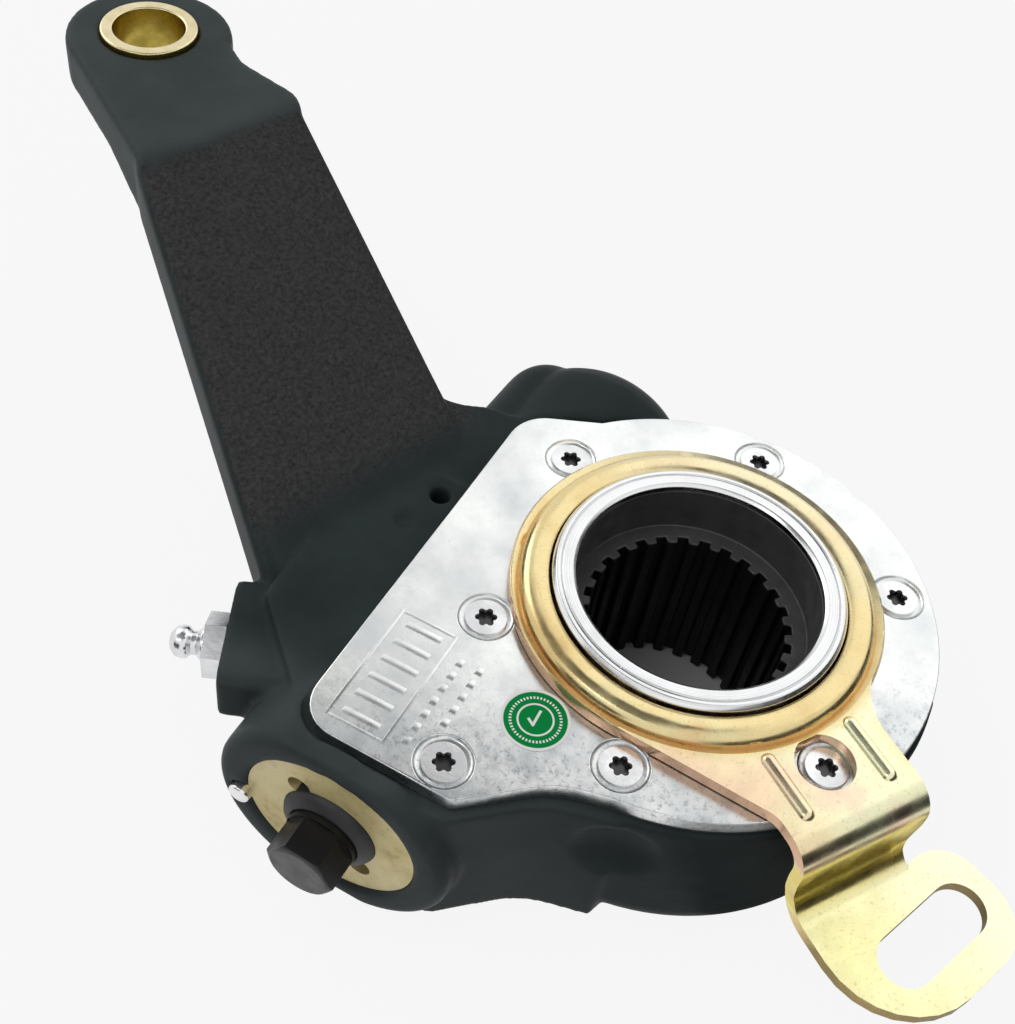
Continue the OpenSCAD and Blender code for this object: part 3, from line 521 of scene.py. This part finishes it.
def plainMetal(name, tones, roughness, paintedShadeFrom=None):
    # the last argument: height below which painted shade darkens the screw in its socket
    finish = Finish(name, roughness, metallic=1.0)
    cloud = finish.noise(6 * mm, detail=4)
    tint = finish.twoTone(cloud, tones)
    if paintedShadeFrom:
        # painted shade low in the socket
        paintedShade = finish.span(finish.axis("Z"), paintedShadeFrom, paintedShadeFrom - socketShade["depth"])
        tint = finish.mix(paintedShade, tint, socketShade["tone"])
    finish.colour(tint)
    finish.roughness(finish.span(cloud, 0.3, 0.7, roughness + 0.06, roughness - 0.06))
    finish.bump(finish.noise(0.8 * mm, rough=0.6), depth=0.04 * mm, strength=0.35)
    return finish.paint


# dull yellow zinc of the end cap
capLook = {
    "tones": [(0.28, (0.44, 0.35, 0.17)), (0.42, (0.70, 0.59, 0.28)),
              (0.62, (0.78, 0.67, 0.36)), (0.8, (0.62, 0.52, 0.31))],
    "speckTone": (0.12, 0.09, 0.08),
}


def capKhaki():
    finish = Finish("capKhaki", roughness=0.5, metallic=0.35)
    cloud = finish.noise(9 * mm, detail=4, rough=0.6)
    tint = finish.ramp(cloud, capLook["tones"])
    speck = finish.noise(1.1 * mm, detail=4, rough=0.7)
    finish.colour(finish.mix(finish.span(speck, 0.58, 0.8, 0.0, 0.6), tint, capLook["speckTone"]))
    finish.roughness(finish.span(cloud, 0.3, 0.7, 0.6, 0.42))
    finish.bump(speck, depth=0.05 * mm, strength=0.5)
    return finish.paint


# black oxide of the adjuster shaft
hexLook = {
    "wornFrom": (-75.9 * mm, -76.4 * mm),      # along X, worn to grey on the hexagon's end face
    "blackTones": ((0.006, 0.006, 0.0065), (0.014, 0.0135, 0.014)),
    "greyTones": ((0.070, 0.071, 0.074), (0.105, 0.105, 0.108)),
}


def hexBlack():
    finish = Finish("hexBlack", roughness=0.4, metallic=0.0, gloss=0.22)
    worn = finish.span(finish.axis("X"), *hexLook["wornFrom"])
    cloud = finish.noise(4 * mm, detail=4)
    black = finish.twoTone(cloud, hexLook["blackTones"])
    grey = finish.twoTone(cloud, hexLook["greyTones"])
    finish.colour(finish.mix(worn, black, grey))
    finish.roughness(finish.span(cloud, 0.3, 0.7, 0.42, 0.3))
    finish.bump(finish.noise(0.9 * mm), depth=0.05 * mm, strength=0.4)
    return finish.paint


# black phosphate of the worm wheel
wheelLook = {
    "counterbore": (37.0 * mm, 37.8 * mm),     # charcoal above this height, oily black down in the spline, darkened further as painted shade
    "splineShadeTones": ((0.0025, 0.0025, 0.003), (0.006, 0.006, 0.0065)),
    "charcoalTones": ((0.046, 0.046, 0.048), (0.078, 0.078, 0.080)),
}


def wheelBlack():
    finish = Finish("wheelBlack", roughness=0.4, metallic=0.0, gloss=0.35)
    above = finish.span(finish.axis("Z"), *wheelLook["counterbore"])
    cloud = finish.noise(5 * mm, detail=4)
    # painted shade: near black down in the spline bore
    paintedDeepShade = finish.twoTone(cloud, wheelLook["splineShadeTones"])
    charcoal = finish.twoTone(cloud, wheelLook["charcoalTones"])
    finish.colour(finish.mix(above, paintedDeepShade, charcoal))
    finish.roughness(finish.span(cloud, 0.3, 0.7, 0.5, 0.36))
    finish.bump(finish.noise(0.9 * mm), depth=0.04 * mm, strength=0.4)
    return finish.paint


# brass of the bush: pale on the turned end, olive in the bore
brassLook = {
    "endFacing": (0.25, 0.7),
    "paleTones": ((0.66, 0.57, 0.34), (0.80, 0.71, 0.46)),
    "oliveTones": ((0.34, 0.25, 0.045), (0.48, 0.37, 0.085)),
}


def bushBrass():
    finish = Finish("bushBrass", roughness=0.28, metallic=1.0)
    cloud = finish.noise(3 * mm)
    pale = finish.twoTone(cloud, brassLook["paleTones"])
    olive = finish.twoTone(cloud, brassLook["oliveTones"])
    onEnd = finish.span(finish.axis("Z", finish.facing), *brassLook["endFacing"])
    finish.colour(finish.mix(onEnd, olive, pale))
    finish.roughness(finish.span(cloud, 0.3, 0.7, 0.34, 0.22))
    finish.bump(finish.noise(0.6 * mm), depth=0.03 * mm, strength=0.35)
    return finish.paint


def sealRubber():
    finish = Finish("sealRubber", roughness=0.55, metallic=0.0)
    finish.colour(finish.twoTone(finish.noise(3 * mm), ((0.010, 0.010, 0.012), (0.020, 0.020, 0.022))))
    finish.bump(finish.noise(0.5 * mm), depth=0.05 * mm, strength=0.4)
    return finish.paint


def gasketFibre():
    finish = Finish("gasketFibre", roughness=0.8, metallic=0.0)
    fibres = finish.noise(0.6 * mm, detail=4)
    finish.colour(finish.twoTone(fibres, ((0.03, 0.035, 0.033), (0.08, 0.09, 0.085))))
    finish.bump(finish.noise(0.5 * mm), depth=0.06 * mm, strength=0.5)
    return finish.paint


# dark and light tones of the plain metals
metalTones = {
    "ring": ((0.62, 0.63, 0.64), (0.88, 0.88, 0.88)),
    "screw": ((0.66, 0.67, 0.68), (0.86, 0.86, 0.86)),
    "nipple": ((0.62, 0.63, 0.65), (0.84, 0.85, 0.86)),
    "oiled": ((0.28, 0.28, 0.28), (0.46, 0.46, 0.46)),
    "spring": ((0.14, 0.14, 0.15), (0.26, 0.26, 0.27)),
}
finishes = {
    "black_casting": castingPaint(),
    "cover_zinc": coverZinc(),
    "arm_zinc": armGold(),
    "ring_steel": turnedSteel("ringBright", metalTones["ring"], 0.5 * mm),
    "bush_brass": bushBrass(),
    "screw_steel": plainMetal("screwZinc", metalTones["screw"], 0.26),
    "nipple_steel": plainMetal("nippleZinc", metalTones["nipple"], 0.24),
    "cap_zinc": capKhaki(),
    "shaft_black": hexBlack(),
    "wheel_steel": wheelBlack(),
    "inner_steel": plainMetal("oiledSteel", metalTones["oiled"], 0.3),
    "spring_steel": plainMetal("springSteel", metalTones["spring"], 0.32),
    "seal_rubber": sealRubber(),
    "gasket_fibre": gasketFibre(),
}
# nodes whose finish differs from that of their slot
ownFinishes = {
    "cover_screws": plainMetal("screwRecessed", metalTones["screw"], 0.26, coverTop - socketShade["below"]),
}
nodeSlots = {part["node"]: part["material_slot"] for part in record["subparts"]}
nodeBodies = {node: body for body, group in record["behaviour"]["bodies"].items() for node in group}


def dress(mesh, nodeName):
    mesh.materials.clear()
    mesh.materials.append(ownFinishes.get(nodeName) or finishes[nodeSlots[nodeName]])


for nodeName, node in cadNodes.items():
    dress(node.data, nodeName)
print("finishes mixed:", len(finishes))


def addPiece(name, mesh, nodeName):
    # a piece that moves and looks as that node does
    piece = addObject(name, mesh)
    dress(mesh, nodeName)
    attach(piece, nodeBodies[nodeName])
    return piece


def mergedCopy(nodeName):
    # a CAD node's triangles with their doubles merged
    work = bmesh.new()
    work.from_mesh(cadNodes[nodeName].data)
    bmesh.ops.remove_doubles(work, verts=work.verts, dist=mergeWithin)
    return work


def shadeRound(work, sharpAngle):
    # smooth faces, with edges kept sharp from that angle on
    for face in work.faces:
        face.smooth = True
    for edge in work.edges:
        edge.smooth = len(edge.link_faces) != 2 or edge.calc_face_angle() < sharpAngle


# the casting: the CAD solid with its edges eased as a casting's are
castBody = {
    "voxel": 0.7 * mm,
    "smoothRounds": 8,
    "smoothShare": 0.5,
    "triangles": 185000,
    "leverRounds": 18,                     # further rounds on the lever, whose edges are rounder
    "leverFrom": (60 * mm, 74 * mm),       # along the lever
    "eyeCrisp": (14 * mm, 17 * mm),        # from the eye's axis: the bush's seat keeps its edge
}

# fillets where the lever and the closed end of the worm boss grow out of the body
castFillets = {
    "rootCorner": (21.0 * mm, 67.9 * mm),                  # the lever's right side meets the shoulder here
    "rootSides": ((0.502, 0.865), (0.447, -0.894)),
    "rootRadius": 16 * mm,
    "rootSunk": 4 * mm,
    "rootHeights": (29 * mm, 40.4 * mm),
    "rootSteps": 12,
    "flankStart": (17.8 * mm, 56.2 * mm, 32.6 * mm),       # thin end of a tapered swelling along the boss
    "flankStartRadius": 5.9 * mm,
    "flankEnd": (42.8 * mm, 51.5 * mm, 28.3 * mm),
    "flankEndRadius": 10.7 * mm,
    "flankSegments": (40, 24),
    "boreAxis": (0, 38.5 * mm, 22.5 * mm),
    "boreClear": 14.3 * mm,
    "flankFacing": (0, 0.82, 0.57),
    "cutWithin": 1e-7,
}


def addRootFillet(work):
    corner = Vector(castFillets["rootCorner"])
    first, second = (Vector(side).normalized() for side in castFillets["rootSides"])
    half = first.angle(second) / 2
    radius = castFillets["rootRadius"]
    outward = (first + second).normalized()
    middle = corner + outward * radius / math.sin(half)
    start = math.atan2(*reversed(corner + first * radius / math.tan(half) - middle))
    end = math.atan2(*reversed(corner + second * radius / math.tan(half) - middle))
    sweep = (end - start + math.pi) % math.tau - math.pi
    outline = [corner - outward * castFillets["rootSunk"]]
    steps = castFillets["rootSteps"]
    for step in range(steps + 1):
        turn = start + sweep * step / steps
        outline.append(middle + radius * Vector((math.cos(turn), math.sin(turn))))
    low, high = castFillets["rootHeights"]
    base = work.faces.new([work.verts.new((spot.x, spot.y, low)) for spot in outline])
    grown = bmesh.ops.extrude_face_region(work, geom=[base], use_keep_orig=True)["geom"]
    tops = [item for item in grown if isinstance(item, bmesh.types.BMVert)]
    bmesh.ops.translate(work, vec=(0, 0, high - low), verts=tops)


def addFlankFillet(work):
    start, end = Vector(castFillets["flankStart"]), Vector(castFillets["flankEnd"])
    around, upward = castFillets["flankSegments"]
    made = bmesh.ops.create_uvsphere(work, u_segments=around, v_segments=upward, radius=1.0)["verts"]
    for vert in made:
        if vert.co.x < 0:
            vert.co = start + vert.co * castFillets["flankStartRadius"]
        else:
            vert.co = end + vert.co * castFillets["flankEndRadius"]
    # the side towards the worm is cut off, so that the bore stays open
    facing = Vector(castFillets["flankFacing"]).normalized()
    cutPlace = Vector(castFillets["boreAxis"]) + facing * castFillets["boreClear"]
    edges = {edge for vert in made for edge in vert.link_edges}
    faces = {face for vert in made for face in vert.link_faces}
    whole = list(made) + list(edges) + list(faces)
    cut = bmesh.ops.bisect_plane(work, geom=whole, dist=castFillets["cutWithin"], plane_co=cutPlace,
                                 plane_no=facing, clear_inner=True)["geom_cut"]
    rim = [item for item in cut if isinstance(item, bmesh.types.BMEdge)]
    bmesh.ops.holes_fill(work, edges=rim, sides=0)


def bakeModifiers(piece, name):
    view = bpy.context.evaluated_depsgraph_get()
    mesh = bpy.data.meshes.new_from_object(piece.evaluated_get(view))
    mesh.name = name
    bpy.data.objects.remove(piece)
    return mesh


def leverShare(spot):
    # 1 on the lever, 0 on the body and round the bush
    low, high = castBody["leverFrom"]
    onLever = (spot.dot(Vector(leverAlong)) - low) / (high - low)
    near, far = castBody["eyeCrisp"]
    offBush = ((spot.xy - Vector(clevisBore).xy).length - near) / (far - near)
    return min(max(min(onLever, offBush), 0.0), 1.0)


def skinCasting():
    work = mergedCopy("housing")
    addRootFillet(work)
    addFlankFillet(work)
    bmesh.ops.recalc_face_normals(work, faces=work.faces)
    draft = addObject("castingDraft", meshFrom(work, "castingDraft"))
    skin = draft.modifiers.new("skin", "REMESH")
    skin.mode = "VOXEL"
    skin.voxel_size = castBody["voxel"]
    ease = draft.modifiers.new("ease", "SMOOTH")
    ease.factor = castBody["smoothShare"]
    ease.iterations = castBody["smoothRounds"]
    return bakeModifiers(draft, "castBody")


def roundLever(mesh):
    # rounds the lever's edges and thins the triangles of the whole casting
    triangles = sum(len(face.vertices) - 2 for face in mesh.polygons)
    print("casting triangles before thinning:", triangles)
    draft = addObject("castingDraft", mesh)
    lever = draft.vertex_groups.new(name="lever")
    for vert in mesh.vertices:
        share = leverShare(vert.co)
        if share > 0:
            lever.add([vert.index], share, "REPLACE")
    roundOff = draft.modifiers.new("roundOff", "SMOOTH")
    roundOff.factor = castBody["smoothShare"]
    roundOff.iterations = castBody["leverRounds"]
    roundOff.vertex_group = "lever"
    if triangles > castBody["triangles"]:
        thin = draft.modifiers.new("thin", "DECIMATE")
        thin.ratio = castBody["triangles"] / triangles
    return bakeModifiers(draft, "castBody")


def makeCasting():
    mesh = roundLever(skinCasting())
    mesh.shade_smooth()
    piece = addPiece("castBody", mesh, "housing")
    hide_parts("housing")


makeCasting()
print("casting skinned")

# machined and stamped pieces: the CAD solid with its edges broken
# piece name: node, edge width, segments, sharpest angle in degrees that stays unbroken
brokenEdges = {
    "coverPlate": ("cover_plate", 0.45 * mm, 3, 40),
    "controlArm": ("control_arm", 0.5 * mm, 3, 48),
    "hubRing": ("hub_ring", 0.15 * mm, 2, 30),
    "clevisBush": ("clevis_bush", 0.5 * mm, 3, 40),
    "coverScrews": ("cover_screws", 0.25 * mm, 2, 40),
    "endCap": ("end_cap", 0.35 * mm, 2, 40),
    "lockPin": ("cap_lock_pin", 0.6 * mm, 3, 40),
    "shaftSeal": ("shaft_seal", 0.25 * mm, 2, 30),
    "greaseNipple": ("grease_nipple", 0.25 * mm, 2, 38),
    "adjusterShaft": ("adjuster_shaft", 0.4 * mm, 2, 25),
    "wormWheel": ("worm_wheel", 0.2 * mm, 1, 40),
}
flatAngle = math.radians(1)            # triangles that lie this flat are one face


def breakEdges(name, nodeName, width, segments, angle):
    work = mergedCopy(nodeName)
    bmesh.ops.dissolve_limit(work, angle_limit=flatAngle, verts=work.verts, edges=work.edges)
    sharp = [edge for edge in work.edges if len(edge.link_faces) == 2 and edge.calc_face_angle() > angle]
    bmesh.ops.bevel(work, geom=sharp, offset=width, offset_type="OFFSET", segments=segments, profile=0.5,
                    affect="EDGES", material=-1, clamp_overlap=True)
    shadeRound(work, angle)
    piece = addPiece(name, meshFrom(work, name), nodeName)
    even = piece.modifiers.new("even", "WEIGHTED_NORMAL")
    even.keep_sharp = True
    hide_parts(nodeName)


for pieceName, (nodeName, width, segments, angle) in brokenEdges.items():
    breakEdges(pieceName, nodeName, width, segments, math.radians(angle))
print("edges broken on", len(brokenEdges), "pieces")

# shallow dished seats round the heads of the cover screws
screwSeats = {
    "circle": 40.4 * mm,
    "angles": (3.5, 62.5, 129.0, 184.5, 238.5, 303.5),     # degrees
    "corner": (-55.7 * mm, 23.0 * mm),                     # the seventh screw, off the circle
    # distance from the screw's axis, depth below the cover's top
    "profile": [(3.90 * mm, 1.30 * mm), (3.90 * mm, 0.70 * mm), (4.55 * mm, 0.66 * mm),
                (4.90 * mm, 0.52 * mm), (5.12 * mm, 0.30 * mm), (5.22 * mm, 0.08 * mm),
                (5.22 * mm, 1.30 * mm)],
    "steps": 48,                                           # round each seat
    "sharpAngle": math.radians(50),
}


def dishScrewSeats():
    work = bmesh.new()
    reach = screwSeats["circle"]
    places = [(reach * math.cos(math.radians(turn)), reach * math.sin(math.radians(turn)))
              for turn in screwSeats["angles"]]
    for x, y in places + [screwSeats["corner"]]:
        loop = [work.verts.new((x + away, y, coverTop - depth)) for away, depth in screwSeats["profile"]]
        edges = [work.edges.new(pair) for pair in zip(loop, loop[1:] + loop[:1])]
        bmesh.ops.spin(work, geom=loop + edges, cent=(x, y, 0), axis=(0, 0, 1), angle=math.tau,
                       steps=screwSeats["steps"], use_merge=True)
    bmesh.ops.recalc_face_normals(work, faces=work.faces)
    shadeRound(work, screwSeats["sharpAngle"])
    addPiece("screwSeats", meshFrom(work, "screwSeats"), "cover_plate")


dishScrewSeats()
print("screw seats dished")

# raised marks on the cover: plain bars in a frame, and two rows of dots
coverMarks = {
    "rise": 0.11 * mm,
    "sunk": 0.1 * mm,
    "roundShare": 0.4,                     # of a mark's height, taken by its rounded edge
    "frameX": (-58.0 * mm, -32.5 * mm),
    "frameY": (33.6 * mm, 44.8 * mm),
    "frameWide": 0.7 * mm,
    "bars": 6,
    "barSize": (1.5 * mm, 7.4 * mm),
    "dotRows": [(-55.5 * mm, 30.4 * mm, 7), (-49.0 * mm, 26.6 * mm, 5)],       # X of first dot, Y, count
    "dotPitch": 3.1 * mm,
    "dotSize": (1.9 * mm, 1.5 * mm),
}


def addBar(work, x, y, width, height):
    tall = coverMarks["rise"] + coverMarks["sunk"]
    made = bmesh.ops.create_cube(work, size=1.0)["verts"]
    bmesh.ops.scale(work, vec=(width, height, tall), verts=made)
    edges = list({edge for vert in made for edge in vert.link_edges})
    rounded = bmesh.ops.bevel(work, geom=edges, offset=tall * coverMarks["roundShare"], segments=2,
                              profile=0.5, affect="EDGES", material=-1)["verts"]
    whole = list({vert for vert in made if vert.is_valid} | set(rounded))
    bmesh.ops.translate(work, vec=(x, y, coverTop + coverMarks["rise"] - tall / 2), verts=whole)


def raiseCoverMarks():
    work = bmesh.new()
    (left, right), (low, high) = coverMarks["frameX"], coverMarks["frameY"]
    wide = coverMarks["frameWide"]
    middleX, middleY = (left + right) / 2, (low + high) / 2
    for y in (low, high):
        addBar(work, middleX, y, right - left + wide, wide)
    for x in (left, right):
        addBar(work, x, middleY, wide, high - low - wide)
    for index in range(coverMarks["bars"]):
        x = left + (right - left) * (index + 0.5) / coverMarks["bars"]
        addBar(work, x, middleY, *coverMarks["barSize"])
    for first, y, count in coverMarks["dotRows"]:
        for index in range(count):
            addBar(work, first + index * coverMarks["dotPitch"], y, *coverMarks["dotSize"])
    for face in work.faces:
        face.smooth = True
    addPiece("coverMarks", meshFrom(work, "coverMarks"), "cover_plate")


raiseCoverMarks()
print("cover marks raised")

# round green sticker on the cover, with rings, plain dashes and a tick
sticker = {
    "centre": (-40.1 * mm, 13.5 * mm),
    "turn": math.radians(-61.8),           # its upright stands upright in the photograph
    "radius": 6.25 * mm,
    "segments": 72,
    "rimAngle": math.radians(45),          # edges sharper than this are its rims
    "thick": 0.12 * mm,
    "roundShare": 0.3,                     # of its thickness, taken by its rounded rim
    "sunkShare": 0.1,                      # of its thickness, sunk in the cover
    "green": (0.001, 0.24, 0.050),
    "white": (0.86, 0.88, 0.86),
    "blur": 0.06 * mm,                     # half width of a printed edge
    "rimFrom": (5.62 * mm, 5.74 * mm),
    "innerRing": (3.0 * mm, 3.35 * mm),
    "dashRing": (4.25 * mm, 4.75 * mm),
    "dashes": 46,
    "dashFrom": (0.42, 0.54),              # share of a dash's pitch where white starts
    "tick": [(-1.2 * mm, 0.1 * mm), (-0.5 * mm, -1.1 * mm), (0.9 * mm, 1.7 * mm)],     # its corners
    "tickHalf": 0.24 * mm,
    "tickPast": 0.2 * mm,                  # each stroke runs on past its ends
}


def stickerGreen():
    finish = Finish("stickerGreen", roughness=0.5, metallic=0.0, gloss=0.06)
    middle = sticker["centre"] + (0,)
    flat = finish.mapped(move=middle, turn=(0, 0, sticker["turn"]))
    away = finish.radius(flat)
    angle = finish.sums("ARCTAN2", finish.axis("Y", flat), finish.axis("X", flat))
    beat = finish.sums("FRACT", finish.sums("MULTIPLY", angle, sticker["dashes"] / math.tau))

    def band(value, low, high):
        edge = sticker["blur"]
        return finish.sums("MULTIPLY", finish.span(value, low - edge, low + edge),
                           finish.span(value, high + edge, high - edge))

    def stroke(start, end):
        run = Vector(end) - Vector(start)
        spread = Matrix.Rotation(sticker["turn"], 2) @ (Vector(start) + run / 2)
        lean = math.atan2(run.y, run.x)
        own = finish.mapped(move=(middle[0] + spread.x, middle[1] + spread.y, 0),
                            turn=(0, 0, sticker["turn"] + lean))
        half = run.length / 2 + sticker["tickPast"]
        return finish.sums("MULTIPLY", band(finish.axis("X", own), -half, half),
                           band(finish.axis("Y", own), -sticker["tickHalf"], sticker["tickHalf"]))

    onDash = finish.span(beat, *sticker["dashFrom"])
    dashes = finish.sums("MULTIPLY", band(away, *sticker["dashRing"]), onDash)
    rim = finish.span(away, *sticker["rimFrom"])
    rings = finish.sums("MAXIMUM", rim, band(away, *sticker["innerRing"]))
    white = finish.sums("MAXIMUM", rings, dashes)
    for start, end in zip(sticker["tick"], sticker["tick"][1:]):
        white = finish.sums("MAXIMUM", white, stroke(start, end))
    finish.colour(finish.mix(white, sticker["green"], sticker["white"]))
    finish.bump(finish.noise(4 * mm, detail=2), depth=0.05 * mm, strength=0.2)
    return finish.paint


def laySticker():
    radius, thick = sticker["radius"], sticker["thick"]
    work = bmesh.new()
    bmesh.ops.create_cone(work, cap_ends=True, segments=sticker["segments"], radius1=radius, radius2=radius,
                          depth=thick)
    rims = [edge for edge in work.edges if edge.calc_face_angle(0) > sticker["rimAngle"]]
    bmesh.ops.bevel(work, geom=rims, offset=thick * sticker["roundShare"], segments=2, profile=0.5,
                    affect="EDGES", material=-1)
    middle = coverTop + thick * (0.5 - sticker["sunkShare"])
    bmesh.ops.translate(work, vec=sticker["centre"] + (middle,), verts=work.verts)
    mesh = meshFrom(work, "roundSticker")
    mesh.materials.append(stickerGreen())
    piece = addObject("roundSticker", mesh)
    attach(piece, "casting")


laySticker()
print("sticker laid")

scene.view_settings.view_transform = "Standard"
